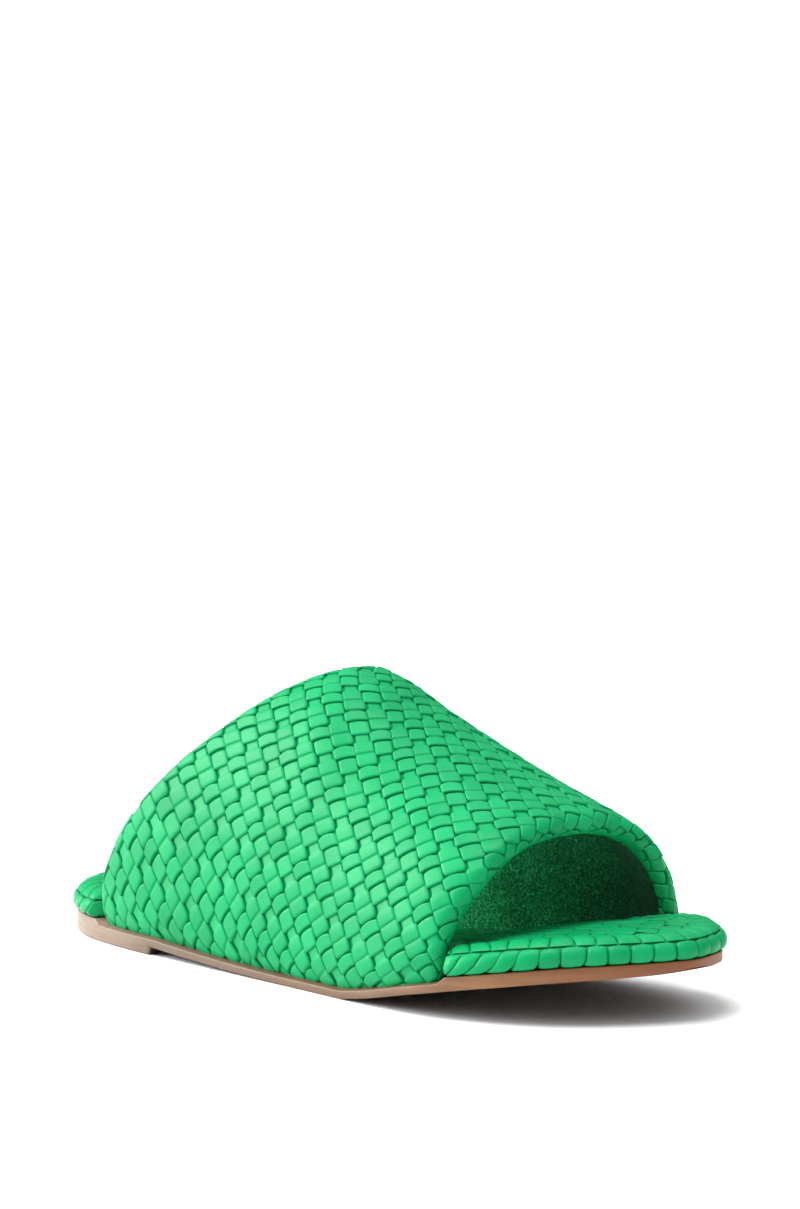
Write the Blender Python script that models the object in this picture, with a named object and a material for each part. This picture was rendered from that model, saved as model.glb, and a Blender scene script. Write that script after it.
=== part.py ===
# Braided flat sandal, right shoe: a moulded outsole, a padded footbed and one woven band as the upper.
# Tables and sizes are in millimetres, with the heel's back at x = 0, the toe at +x, the outer side at -y
# and the floor at z = 0. The finished pieces are moved so that the origin is under the middle of the shoe.

import math
from collections import namedtuple

import bmesh
import bpy
import numpy as np
from mathutils import Matrix, Vector
from mathutils.geometry import delaunay_2d_cdt

MM = 0.001
GAP = 0.3  # between pieces that meet
WELD = 0.002  # the patches of one piece meet closer than this
FILL_MERGE = 1e-5  # a fill's points closer than this are one
FILL_INSIDE = 1  # a fill keeps the triangles inside its loop
SHARP_ANGLE = math.radians(35)  # steeper edges are shaded as edges

# Outsole
HEEL_BREAST = 60.0  # front of the heel block
BREAST_SLOPE = 0.8  # length of the breast's face
LOWER_EDGE = 1.0  # rounding of the lower edge
LOWER_EDGE_STEPS = 2
UPPER_EDGE = 0.4  # bevel of the upper edge
REBATE_DEPTH = 1.7  # the band is sunk this far into the sole's rim
REBATE_WIDTH = 7.4
REBATE_END = 2.5  # length of the ramp at the rebate's ends
TOE_TIP = (250.0, 8.0)
HEEL_BACK = (0.0, 0.0)
OUTLINE_POINTS = 60
MARK_CLEARANCE = 2.0  # an evenly spaced point this near to a marked one is left out
SPLINE_STEPS = 24  # points worked out between two rows of the sole's plan
FILL_SPACING = 16.0  # of the points inside a flat fill
FILL_LINES = (14, 25, 36, 47, 58, 69, 80, 91, 102, 113, 122, 130) + (
    140, 150, 155, 160, 167, 175, 185, 197, 210, 222, 234, 243)  # along x, closer where the sole bends
BREAST_CLEARANCE = 4.0  # from these lines to the heel's breast

# Footbed
PAD_CROWN = 0.8  # the top's rise between its edges
PAD_CROWN_REACH = 18.0  # from the edge to the full rise
PAD_BULGE = 1.1  # how far its edge stands over the sole's edge
PAD_TUCK = 2.4  # rounding of the edge under its widest line
PAD_ROUND = 4.4  # rounding of the edge over its widest line, across the shoe
PAD_CLEARANCE = 0.8  # beside the band's curved wall
PAD_EDGE_STEPS = 6
PAD_RAMP = 3.0  # length over which the edge steps in behind the band's rims

# Upper
WALL = 4.5  # strips, foam and lining
ROLL = 3.6  # radius of the rolled rims
ROLL_EASE = 14.0  # the rim's thickness eases into the wall over this length
OVERHANG = 0.5  # the band's outer face stands over the sole's edge
TUCK = 2.6  # the outer face draws in this far at its foot
TUCK_REACH = 9.0  # height over the foot where it starts to draw in
WOVEN_TURN = math.radians(80)  # the weave runs this far round the rolled rims
ROLL_STEPS = 4
COLLAR_POINTS = 30
TOE_POINTS = 24
BASE_POINTS = 16
LINING_SPACING = 13.0
LINING_MARGIN = 6.0
RIM_SAMPLES = 121
SLOPE_STEP = 1.0  # steps for measuring the face's slopes, along x and as a share of the arch
SLOPE_SHARE = 0.006

# Weave: every column strip floats over three row strips, so the repeat is five crossings long.
COLUMN_WIDTH = 6.5  # of a strip, in the middle of the band
ROW_WIDTH = 4.3
PLAIN_STEP = np.array((2.3, -3.6))  # from one row strip to the next on the unrolled sheet, forward and up
BENT_ROWS = (-10, 14)  # the step is another one in each column over these rows
BOW = np.array((0.0, -0.03))  # of the column strips over the same rows
COLUMNS = 29  # laid out to each side of the middle, then cut back to the rims
ROWS = 45
PLACE_STEPS = 25  # rounds of closing in on a point's place in the weave
PLACE_SHIFT = 0.01  # for measuring how the weave runs at a place
GROOVE_WIDTH = 0.95  # between two blocks, at the top
GROOVE_DEPTH = 0.9
WEAVE_BORDER = 1.3  # plain border between the weave and the edge of its sheet
REPEAT = 5
COLUMN_STEP = 2  # the next column's repeat starts this many rows lower
FLOAT_ROWS = (1, 2, 3)  # rows of the repeat where one column strip lies on top
SHORTEST_LINE = 0.05  # shorter cut ends of the weave's lines are dropped
SAME_POINT_DIGITS = 3  # ends of lines that agree in this many decimals are one point
HALVINGS = 20  # steps in finding where a line crosses the border
CONE_LENGTH = 464.0  # the band unrolls like a cone with its tip this far in front of the heel

SoleRow = namedtuple("SoleRow", "x outer inner")
SOLE_PLAN = [
    SoleRow(5, -14.0, 14.5),
    SoleRow(12, -21.5, 21.5),
    SoleRow(25, -28.5, 28.5),
    SoleRow(45, -33.0, 31.5),
    SoleRow(65, -35.3, 31.5),
    SoleRow(90, -37.0, 29.5),
    SoleRow(115, -38.6, 28.5),
    SoleRow(140, -40.4, 31.0),
    SoleRow(160, -42.4, 35.5),
    SoleRow(175, -43.8, 39.0),
    SoleRow(185, -44.2, 41.0),
    SoleRow(195, -43.3, 42.0),
    SoleRow(210, -39.0, 41.5),
    SoleRow(220, -34.0, 40.0),
    SoleRow(230, -26.5, 36.5),
    SoleRow(240, -14.0, 29.5),
    SoleRow(246, -3.0, 22.0),
]

# Underside of the sole sheet over the floor: raised on the heel, down at the ball, up again at the toe.
# With it, the thickness of the sheet and of the footbed on it.
SideRow = namedtuple("SideRow", "x lift sheet pad")
SOLE_SIDE = [
    SideRow(0, 2.3, 4.5, 8.0),
    SideRow(61, 2.3, 4.5, 8.0),
    SideRow(70, 1.9, 4.4, 8.0),
    SideRow(85, 1.2, 4.3, 8.0),
    SideRow(105, 0.4, 4.3, 8.0),
    SideRow(130, 0.0, 4.3, 8.0),
    SideRow(150, 0.0, 4.3, 8.0),
    SideRow(160, 1.2, 4.3, 8.0),
    SideRow(170, 3.1, 4.3, 8.0),
    SideRow(185, 6.2, 4.3, 8.0),
    SideRow(210, 10.6, 4.3, 8.0),
    SideRow(230, 13.4, 4.3, 7.6),
    SideRow(240, 14.3, 4.1, 7.2),
    SideRow(246, 15.0, 3.6, 6.9),
    SideRow(250, 15.9, 2.9, 6.8),
]

# Cross-sections of the last under the band: the top of the arch and how square its shoulders are.
ArchRow = namedtuple("ArchRow", "x top_y top_z fullness")
ARCHES = [
    ArchRow(20, 0.0, 84.0, 2.2),
    ArchRow(60, 0.0, 86.0, 2.2),
    ArchRow(100, 1.0, 90.6, 2.2),
    ArchRow(118, 2.0, 91.6, 2.25),
    ArchRow(128, 2.5, 89.4, 2.3),
    ArchRow(144, 3.0, 82.2, 2.3),
    ArchRow(166, 3.0, 72.6, 2.35),
    ArchRow(185, 3.0, 64.6, 2.4),
    ArchRow(204, 3.0, 57.4, 2.55),
    ArchRow(225, 3.0, 49.5, 2.6),
]
ARCH_STATION = 2.0  # between the worked-out sections
ARCH_SAMPLES = 161

# Where the band's rims start to roll, by the share of the way over the arch from outer to inner base.
RimRow = namedtuple("RimRow", "share x")
COLLAR = [
    RimRow(0.0, 36.0),
    RimRow(0.06, 36.0),
    RimRow(0.12, 40.0),
    RimRow(0.19, 50.0),
    RimRow(0.27, 65.5),
    RimRow(0.35, 84.5),
    RimRow(0.42, 101.5),
    RimRow(0.47, 112.5),
    RimRow(0.52, 119.0),
    RimRow(0.57, 119.0),
    RimRow(0.63, 111.5),
    RimRow(0.7, 96.0),
    RimRow(0.78, 78.0),
    RimRow(0.86, 60.0),
    RimRow(0.94, 48.5),
    RimRow(1.0, 46.0),
]
TOE_OPENING = [
    RimRow(0.00, 191.5),
    RimRow(0.06, 192.5),
    RimRow(0.12, 195.5),
    RimRow(0.20, 200.2),
    RimRow(0.30, 203.6),
    RimRow(0.40, 204.6),
    RimRow(0.50, 204.9),
    RimRow(0.70, 207.2),
    RimRow(0.85, 209.0),
    RimRow(1.00, 210.0),
]

# The middle row strip on the unrolled sheet, by column strip, with the step down to the next row strip.
# The strips run steeper towards the heel and the toe.
WeaveRow = namedtuple("WeaveRow", "column forward up step_forward step_up")
WEAVE = [
    WeaveRow(-30, 8.0, -92.0, 3.9, -4.4),
    WeaveRow(-10, 73.8, 18.4, 3.9, -4.4),
    WeaveRow(-5, 99.6, 41.3, 2.75, -3.8),
    WeaveRow(0, 132.5, 57.4, 2.2, -3.5),
    WeaveRow(5, 164.0, 70.5, 2.3, -3.5),
    WeaveRow(10, 185.4, 84.5, 3.0, -3.85),
    WeaveRow(30, 251.0, 146.5, 3.0, -3.85),
]

FINISH = {
    "outsole": dict(colour=(0.42, 0.27, 0.17), roughness=0.55),
    "footbed": dict(colour=(0.02, 0.42, 0.12), roughness=0.45),
    "upper": dict(colour=(0.02, 0.42, 0.12), roughness=0.45),
}


def curve_through(rows, column, key="x"):
    """A smooth curve through one column of a table that doesn't overshoot its rows."""
    at = np.array([getattr(row, key) for row in rows], float)
    value = np.array([getattr(row, column) for row in rows], float)
    step = np.diff(at)
    rise = np.diff(value) / step
    slope = np.concatenate([rise[:1], np.zeros(len(at) - 2), rise[-1:]])
    for k in range(1, len(at) - 1):
        if rise[k - 1] * rise[k] > 0:
            slope[k] = 2 * rise[k - 1] * rise[k] / (rise[k - 1] + rise[k])

    def curve(x):
        x = np.clip(x, at[0], at[-1])
        k = np.clip(np.searchsorted(at, x) - 1, 0, len(step) - 1)
        t = (x - at[k]) / step[k]
        blend = value[k] * (1 + 2 * t) * (1 - t) ** 2 + value[k + 1] * t * t * (3 - 2 * t)
        return blend + step[k] * (slope[k] * t * (1 - t) ** 2 - slope[k + 1] * t * t * (1 - t))

    return curve


def closed_spline(points, steps):
    """Points along a closed Catmull-Rom curve."""
    points = np.array(points, float)
    t = np.linspace(0, 1, steps, endpoint=False)[:, None]
    spans = []
    for k in range(len(points)):
        a, b, c, d = (points[(k + j) % len(points)] for j in (-1, 0, 1, 2))
        bend = (2 * a - 5 * b + 4 * c - d) * t**2 + (3 * b - a - 3 * c + d) * t**3
        spans.append(0.5 * (2 * b + (c - a) * t + bend))
    return np.concatenate(spans)


def ease(t):
    t = np.clip(t, 0, 1)
    return t * t * (3 - 2 * t)


def unit(vectors):
    return vectors / np.linalg.norm(vectors, axis=-1, keepdims=True)


sole_lift = curve_through(SOLE_SIDE, "lift")
sheet_depth = curve_through(SOLE_SIDE, "sheet")
pad_depth = curve_through(SOLE_SIDE, "pad")
arch_y = curve_through(ARCHES, "top_y")
arch_z = curve_through(ARCHES, "top_z")
arch_fullness = curve_through(ARCHES, "fullness")
collar_x = curve_through(COLLAR, "x", "share")
toe_opening_x = curve_through(TOE_OPENING, "x", "share")
weave_curves = [curve_through(WEAVE, name, "column") for name in WeaveRow._fields[1:]]


def sole_top(x):
    return sole_lift(x) + sheet_depth(x)


def sole_bottom(x):
    """The underside, with the heel block reaching the floor."""
    return sole_lift(x) * ease((x - HEEL_BREAST) / BREAST_SLOPE)


def base_height(x):
    """Height of the band's lower edge, just clear of the floor of the rebate."""
    return sole_top(x) - REBATE_DEPTH + GAP


def wall_depth(inside):
    """Thickness of the band at this distance in from a rim."""
    return WALL + (2 * ROLL - WALL) * (1 - ease(inside / ROLL_EASE))


# The sole's edge from above, as a closed line from the heel's back along the outer side to the tip.


class Outline:
    def __init__(self):
        outer = [(row.x, row.outer) for row in SOLE_PLAN]
        inner = [(row.x, row.inner) for row in reversed(SOLE_PLAN)]
        edge = closed_spline([HEEL_BACK] + outer + [TOE_TIP] + inner, SPLINE_STEPS)
        tip = SPLINE_STEPS * (len(outer) + 1)
        along = np.roll(edge, -1, axis=0) - np.roll(edge, 1, axis=0)
        outward = unit(np.stack([along[:, 1], -along[:, 0]], axis=1))
        self.points = np.vstack([edge, edge[:1]])
        self.outward = np.vstack([outward, outward[:1]])
        spans = np.linalg.norm(np.diff(self.points, axis=0), axis=1)
        self.length = np.concatenate([[0], np.cumsum(spans)])
        self.tip_length = self.length[tip]
        self.branch = {-1: slice(0, tip + 1), 1: slice(len(self.points) - 1, tip - 1, -1)}

    def place(self, side, x):
        """Distance round the line to the point at x on the outer (-1) or inner (1) side."""
        part = self.branch[side]
        return float(np.interp(x, self.points[part, 0], self.length[part]))

    def edge_y(self, side, x):
        part = self.branch[side]
        return np.interp(x, self.points[part, 0], self.points[part, 1])

    def stations(self, marks):
        """Points, outward directions and sides round the line, evenly spaced but with the marks kept."""
        even = np.linspace(0, self.length[-1], OUTLINE_POINTS, endpoint=False)
        kept = [value for value in even if all(abs(value - mark) > MARK_CLEARANCE for mark in marks)]
        at = np.array(sorted(kept + marks))
        points = np.stack([np.interp(at, self.length, self.points[:, k]) for k in (0, 1)], axis=1)
        outward = np.stack([np.interp(at, self.length, self.outward[:, k]) for k in (0, 1)], axis=1)
        return points, unit(outward), np.where(at < self.tip_length, -1, 1)


OUTLINE = Outline()
BAND_ENDS = {  # where the rims start to roll at the base, by side
    -1: (float(collar_x(0)), float(toe_opening_x(0))),
    1: (float(collar_x(1)), float(toe_opening_x(1))),
}


# Patches: lists of points and faces, welded into one closed piece at the end.


def strip_patch(rows, closed):
    """Faces between rows of points that run side by side."""
    count = len(rows[0])
    points = np.concatenate(rows)
    last = count if closed else count - 1
    faces = [
        (r * count + k, r * count + (k + 1) % count, (r + 1) * count + (k + 1) % count, (r + 1) * count + k)
        for r in range(len(rows) - 1)
        for k in range(last)
    ]
    return points, faces


def filled(loop, inner_points, lines):
    """Triangles inside a closed loop of flat points, through the inner points and along the lines.

    The last result is each point's number in the loop, or -1."""
    count = len(loop)
    flat = [Vector(point) for point in list(loop) + list(inner_points)]
    edges = [(k, (k + 1) % count) for k in range(count)] + list(lines)
    points, _, faces, sources, _, _ = delaunay_2d_cdt(flat, edges, [], FILL_INSIDE, FILL_MERGE)
    numbers = [min(source, default=count) for source in sources]
    return (
        np.array([tuple(point) for point in points], float),
        [tuple(face) for face in faces],
        np.array([k if k < count else -1 for k in numbers]),
    )


def plan_fill(loop, height, lines_at):
    """A patch that fills a loop seen from above, with rows of points across it at given places along x."""
    flat = [tuple(point[:2]) for point in loop]
    inner = []
    for x in lines_at:
        ys = crossings(flat, x)
        if len(ys) < 2:
            continue
        count = max(2, round((ys[-1] - ys[0]) / FILL_SPACING))
        inner += [(x, y) for y in np.linspace(ys[0], ys[-1], count + 1)[1:-1]]
    points, faces, on_loop = filled(flat, inner, [])
    points = np.column_stack([points, height(points[:, 0], points[:, 1])])
    at_edge = on_loop >= 0
    points[at_edge] = np.array(loop)[on_loop[at_edge]]
    return points, faces


def crossings(flat, x):
    """Where a loop crosses a line across the shoe, in order."""
    found = []
    for (x0, y0), (x1, y1) in zip(flat, flat[1:] + flat[:1]):
        if (x0 - x) * (x1 - x) < 0:
            found.append(y0 + (y1 - y0) * (x - x0) / (x1 - x0))
    return sorted(found)


def solid(name, patches):
    """One closed piece from patches that meet."""
    bm = bmesh.new()
    for points, faces in patches:
        verts = [bm.verts.new(Vector(point) * MM) for point in points]
        for face in faces:
            bm.faces.new([verts[k] for k in face])
    bmesh.ops.remove_doubles(bm, verts=bm.verts, dist=WELD * MM)
    bmesh.ops.dissolve_degenerate(bm, edges=bm.edges, dist=WELD * MM)
    bmesh.ops.triangulate(bm, faces=bm.faces)
    bmesh.ops.recalc_face_normals(bm, faces=bm.faces)
    if bm.calc_volume(signed=True) < 0:
        bmesh.ops.reverse_faces(bm, faces=bm.faces)
    mesh = bpy.data.meshes.new(name)
    bm.to_mesh(mesh)
    bm.free()
    mesh.shade_smooth()
    mesh.set_sharp_from_angle(angle=SHARP_ANGLE)
    return bpy.data.objects.new(name, mesh)


# Outsole


def rebate_ramps(side):
    """Ends of the rebate along one side: it is full between the two middle ones."""
    start, end = BAND_ENDS[side]
    reach = ROLL + GAP
    return start - reach - REBATE_END, start - reach, end + reach, end + reach + REBATE_END


def rebate(x, side):
    a, b, c, d = rebate_ramps(side)
    return REBATE_DEPTH * np.clip(min((x - a) / (b - a), (d - x) / (d - c)), 0, 1)


def outsole():
    breast = (HEEL_BREAST, HEEL_BREAST + BREAST_SLOPE)
    flat_spot = [row.x for row in SOLE_SIDE if row.lift == 0]
    marks = [OUTLINE.place(side, x) for side in (-1, 1) for x in (*breast, *flat_spot, *rebate_ramps(side))]
    points, outward, sides = OUTLINE.stations(marks)
    sunk = np.array([rebate(x, side) for x, side in zip(points[:, 0], sides)])
    profile = []
    for turn in np.linspace(0, math.pi / 2, LOWER_EDGE_STEPS + 1):
        inset, rise = LOWER_EDGE * (1 - math.sin(turn)), LOWER_EDGE * (1 - math.cos(turn))
        profile.append((inset, lambda x, rise=rise: sole_bottom(x) + rise))
    profile += [
        (0, lambda x: sole_top(x) - sunk - UPPER_EDGE),
        (UPPER_EDGE, lambda x: sole_top(x) - sunk),
        (REBATE_WIDTH, lambda x: sole_top(x) - sunk),
        (REBATE_WIDTH, sole_top),
    ]
    rows = []
    for inset, height in profile:
        edge = points - outward * inset
        rows.append(np.column_stack([edge, height(edge[:, 0])]))
    clear = [x for x in FILL_LINES if min(abs(x - edge) for edge in breast) > BREAST_CLEARANCE]
    bottom = plan_fill(rows[0], lambda x, y: sole_bottom(x), clear + list(breast))
    top = plan_fill(rows[-1], lambda x, y: sole_top(x), FILL_LINES)
    return solid("outsole", [bottom, strip_patch(rows, True), top])


# Footbed


def pad_offset(x, side):
    """How far the footbed's edge stands out from the sole's edge: it steps in behind the band."""
    start, end = BAND_ENDS[side]
    inside = min(x - start, end - x)
    behind = OVERHANG - wall_depth(max(inside, 0)) - PAD_CLEARANCE
    return behind + (PAD_BULGE - behind) * ease((-inside - ROLL - 2 * GAP) / PAD_RAMP)


def pad_marks(side):
    start, end = BAND_ENDS[side]
    reach = ROLL + 2 * GAP
    inward = [start, start + ROLL_EASE / 2, end - ROLL_EASE / 2, end]
    for share in (0, 0.5, 1):
        inward += [start - reach - share * PAD_RAMP, end + reach + share * PAD_RAMP]
    return inward


def footbed():
    marks = [OUTLINE.place(side, x) for side in (-1, 1) for x in pad_marks(side)]
    points, outward, sides = OUTLINE.stations(marks)
    offset = np.array([pad_offset(x, side) for x, side in zip(points[:, 0], sides)])
    rows = []
    for turn in np.linspace(-math.pi / 2, math.pi / 2, PAD_EDGE_STEPS + 1):
        inset = (PAD_TUCK if turn < 0 else PAD_ROUND) * (1 - math.cos(turn))
        edge = points + outward * (offset - inset)[:, None]
        reach = PAD_TUCK if turn < 0 else pad_depth(edge[:, 0]) - PAD_TUCK
        height = PAD_TUCK + reach * math.sin(turn)
        rows.append(np.column_stack([edge, sole_top(edge[:, 0]) + GAP + height]))
    rim = rows[-1][:, :2]

    def crowned(x, y):
        reach = np.array([np.min(np.hypot(rim[:, 0] - a, rim[:, 1] - b)) for a, b in zip(x, y)])
        return sole_top(x) + GAP + pad_depth(x) + PAD_CROWN * ease(reach / PAD_CROWN_REACH)

    under = plan_fill(rows[0], lambda x, y: sole_top(x) + GAP, FILL_LINES)
    top = plan_fill(rows[-1], crowned, FILL_LINES)
    return solid("footbed", [under, strip_patch(rows, True), top])


# Upper: the outer face is a grid of sections, read by x and by the share of the way over the arch.


class Band:
    def __init__(self):
        self.xs = np.arange(ARCHES[0].x, ARCHES[-1].x + ARCH_STATION, ARCH_STATION)
        self.shares = np.linspace(0, 1, ARCH_SAMPLES)
        sections = [self.section(x) for x in self.xs]
        self.girth = np.array([girth for girth, _ in sections])
        self.grid = np.array([points for _, points in sections])
        self.rims = {"collar": self.rim(collar_x), "toe": self.rim(toe_opening_x)}

    def section(self, x):
        """Length of one section, and its points at even shares of it."""
        turn = np.linspace(0, math.pi, 4 * ARCH_SAMPLES)
        side = np.where(turn < math.pi / 2, -1, 1)
        edge = np.where(side < 0, OUTLINE.edge_y(-1, x) - OVERHANG, OUTLINE.edge_y(1, x) + OVERHANG)
        power = 2 / arch_fullness(x)
        y = arch_y(x) + (edge - arch_y(x)) * np.abs(np.cos(turn)) ** power
        z = base_height(x) + (arch_z(x) - base_height(x)) * np.abs(np.sin(turn)) ** power
        along = np.concatenate([[0], np.cumsum(np.hypot(np.diff(y), np.diff(z)))])
        at = self.shares * along[-1]
        points = [np.full(ARCH_SAMPLES, x), np.interp(at, along, y), np.interp(at, along, z)]
        return along[-1], np.column_stack(points)

    def point(self, x, share):
        row = np.clip((x - self.xs[0]) / ARCH_STATION, 0, len(self.xs) - 1.001)
        column = np.clip(share, 0, 1) * (ARCH_SAMPLES - 1.001)
        r, c = row.astype(int), column.astype(int)
        u, v = (row - r)[:, None], (column - c)[:, None]
        near = self.grid[r, c] * (1 - v) + self.grid[r, c + 1] * v
        far = self.grid[r + 1, c] * (1 - v) + self.grid[r + 1, c + 1] * v
        return near * (1 - u) + far * u

    def normal(self, x, share):
        share = np.clip(share, 0, 1)
        ahead = self.point(x + SLOPE_STEP, share) - self.point(x - SLOPE_STEP, share)
        before, after = np.maximum(share - SLOPE_SHARE, 0), np.minimum(share + SLOPE_SHARE, 1)
        over = self.point(x, after) - self.point(x, before)
        return unit(np.cross(ahead, over))

    def to_flat(self, x, share):
        """The unrolled sheet: first number forward along the outer base, second number up from it."""
        radius = CONE_LENGTH - x
        turn = share * np.interp(x, self.xs, self.girth) / radius
        return np.stack([CONE_LENGTH - radius * np.cos(turn), radius * np.sin(turn)], axis=-1)

    def from_flat(self, flat):
        radius = np.hypot(CONE_LENGTH - flat[:, 0], flat[:, 1])
        turn = np.arctan2(flat[:, 1], CONE_LENGTH - flat[:, 0])
        x = CONE_LENGTH - radius
        return x, turn * radius / np.interp(x, self.xs, self.girth)

    def rim(self, edge_x):
        shares = np.linspace(0, 1, RIM_SAMPLES)
        return self.to_flat(edge_x(shares), shares)

    def inside(self, name, flat):
        """Distance in from a rim, negative beyond it, and the nearest point of the rim."""
        line = self.rims[name]
        start, step = line[:-1], np.diff(line, axis=0)
        away = flat[:, None, :] - start[None]
        t = np.clip((away * step).sum(2) / (step * step).sum(1), 0, 1)
        offset = away - t[..., None] * step
        distance = np.linalg.norm(offset, axis=2)
        k = np.argmin(distance, axis=1)
        rows = np.arange(len(flat))
        cross = step[k, 0] * away[rows, k, 1] - step[k, 1] * away[rows, k, 0]
        sign = np.sign(cross) * (-1 if name == "collar" else 1)
        return sign * distance[rows, k], start[k] + t[rows, k][:, None] * step[k]

    def tuck(self, x, share):
        """How far the outer face draws in just over the sole."""
        rise = np.minimum(share, 1 - share) * np.interp(x, self.xs, self.girth)
        short = np.clip(1 - rise / TUCK_REACH, 0, 1)
        return TUCK * short**2

    def place(self, flat, depth):
        """Points of the sheet in the shoe, this deep under its face, with the rims rolled in."""
        x, share = self.from_flat(flat)
        result = self.point(x, share) - self.normal(x, share) * (depth + self.tuck(x, share))[:, None]
        for name in self.rims:
            distance, nearest = self.inside(name, flat)
            over = distance < 0
            if over.any():
                turn = -distance[over] / ROLL
                result[over] = self.rolled(name, nearest[over], turn, depth[over])
        return result

    def rolled(self, name, nearest, turn, depth):
        """Points on a rolled rim, this far round it."""
        x, share = self.from_flat(nearest)
        normal = self.normal(x, share)
        edge_x = collar_x if name == "collar" else toe_opening_x
        before, after = np.maximum(share - SLOPE_SHARE, 0), np.minimum(share + SLOPE_SHARE, 1)
        along = self.point(edge_x(after), after) - self.point(edge_x(before), before)
        out = unit(np.cross(along, normal)) * (-1 if name == "collar" else 1)
        tuck = self.tuck(x, share) * (1 + np.cos(turn)) / 2
        radius = (ROLL - depth - tuck)[:, None]
        swing = normal * np.cos(turn)[:, None] + out * np.sin(turn)[:, None]
        return self.point(x, share) - normal * ROLL + swing * radius

    def clearance(self, flat):
        """Distance to the edge of the woven sheet."""
        x, share = self.from_flat(flat)
        girth = np.interp(x, self.xs, self.girth)
        reach = ROLL * WOVEN_TURN
        rims = [self.inside(name, flat)[0] + reach for name in self.rims]
        return np.minimum.reduce(rims + [share * girth, (1 - share) * girth])


BAND = Band()


def rim_chain(name, edge_x, count):
    """Flat points of the woven sheet's edge along one rim, a little way round its roll."""
    shares = np.linspace(0, 1, count)
    flat = BAND.to_flat(edge_x(shares), shares)
    along = np.gradient(flat, axis=0)
    out = unit(np.stack([-along[:, 1], along[:, 0]], axis=1)) * (1 if name == "collar" else -1)
    return flat + out * ROLL * WOVEN_TURN


def base_chain(side):
    """Flat points along one base, from the collar's rim to the toe opening's."""
    start, end = BAND_ENDS[side]
    xs = np.linspace(start, end, BASE_POINTS)
    return BAND.to_flat(xs, np.full(BASE_POINTS, 0.0 if side < 0 else 1.0))


def weave_flat(places):
    """The flat points at column and row numbers of the weave."""
    across, down = places.T
    forward, up, step_forward, step_up = (curve(across) for curve in weave_curves)
    near = np.clip(down, *BENT_ROWS)[:, None]
    turned = np.stack([step_forward, step_up], axis=1) - PLAIN_STEP
    return np.stack([forward, up], axis=1) + down[:, None] * PLAIN_STEP + near * turned + near**2 * BOW


def weave_place(flat):
    """Column and row numbers of flat points in the weave."""
    places = np.zeros_like(flat)
    for _ in range(PLACE_STEPS):
        runs = [
            (weave_flat(places + shift) - weave_flat(places - shift)) / (2 * PLACE_SHIFT)
            for shift in PLACE_SHIFT * np.eye(2)
        ]
        away = flat - weave_flat(places)
        places = places + np.linalg.solve(np.stack(runs, axis=2), away[..., None])[..., 0]
        places[:, 0] = np.clip(places[:, 0], -COLUMNS, COLUMNS)
    return places


def repeat_row(column, row):
    return (row - COLUMN_STEP * column) % REPEAT


def joined_below(column, row):
    """Whether the crossing and the next one down are the same float of a column strip."""
    here = repeat_row(column, row)
    return here in FLOAT_ROWS and here + 1 in FLOAT_ROWS


def groove(flat):
    """Depth of the weave's relief at flat points."""
    across, down = weave_place(flat).T
    column, row = np.floor(across).astype(int), np.floor(down).astype(int)
    u, v = across - column, down - row
    above = np.array([joined_below(c, r - 1) for c, r in zip(column, row)])
    below = np.array([joined_below(c, r) for c, r in zip(column, row)])
    sides = np.minimum(u, 1 - u)
    ends = np.minimum(np.where(above, np.inf, v), np.where(below, np.inf, 1 - v))
    distance = np.minimum(sides * COLUMN_WIDTH, ends * ROW_WIDTH)
    return GROOVE_DEPTH * np.clip(1 - distance / (GROOVE_WIDTH / 2), 0, 1)


def weave_lines():
    """Lines of the weave on the unrolled sheet: the tops' edges of each block, and the grooves between."""
    column_inset, row_inset = GROOVE_WIDTH / 2 / COLUMN_WIDTH, GROOVE_WIDTH / 2 / ROW_WIDTH
    lines = []
    for column in range(-COLUMNS, COLUMNS):
        for row in range(-ROWS, ROWS):
            left, right = column + column_inset, column + 1 - column_inset
            top, bottom = row + row_inset, row + 1 - row_inset
            if joined_below(column, row - 1):
                top = row
            else:
                lines.append(((left, top), (right, top)))
                lines.append(((column, row), (column + 1, row)))
            if joined_below(column, row):
                bottom = row + 1
            else:
                lines.append(((left, bottom), (right, bottom)))
            lines += [((left, top), (left, bottom)), ((right, top), (right, bottom))]
            lines.append(((column, row), (column, row + 1)))
    ends = np.array(lines, float)
    return weave_flat(ends.reshape(-1, 2)).reshape(ends.shape)


def clipped(ends):
    """The lines inside the sheet's plain border, cut where they cross it."""
    room = [BAND.clearance(ends[:, k]) - WEAVE_BORDER for k in (0, 1)]
    kept = []
    for line, a, b in zip(ends, *room):
        if a <= 0 and b <= 0:
            continue
        start, end = line
        if a * b < 0:
            inner, outer = (start, end) if a > 0 else (end, start)
            for _ in range(HALVINGS):
                middle = (inner + outer) / 2
                if BAND.clearance(middle[None])[0] > WEAVE_BORDER:
                    inner = middle
                else:
                    outer = middle
            start, end = (line[0] if a > 0 else line[1]), inner
        if np.linalg.norm(end - start) > SHORTEST_LINE:
            kept.append((tuple(start), tuple(end)))
    return kept


def numbered(lines, first):
    """The lines' ends as a list of points without doubles, and the lines as pairs of numbers."""
    numbers, pairs = {}, []
    for line in lines:
        pair = []
        for end in line:
            key = (round(end[0], SAME_POINT_DIGITS), round(end[1], SAME_POINT_DIGITS))
            pair.append(numbers.setdefault(key, first + len(numbers)))
        if pair[0] != pair[1]:
            pairs.append(tuple(pair))
    return list(numbers), pairs


def settle(points, at_base=slice(None)):
    """The points, with those at the base set at the height of the band's lower edge."""
    points[at_base, 2] = base_height(points[at_base, 0])
    return points


def ends_of(count):
    """Marks the first and the last point of a chain."""
    return np.isin(np.arange(count), (0, count - 1))


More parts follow.
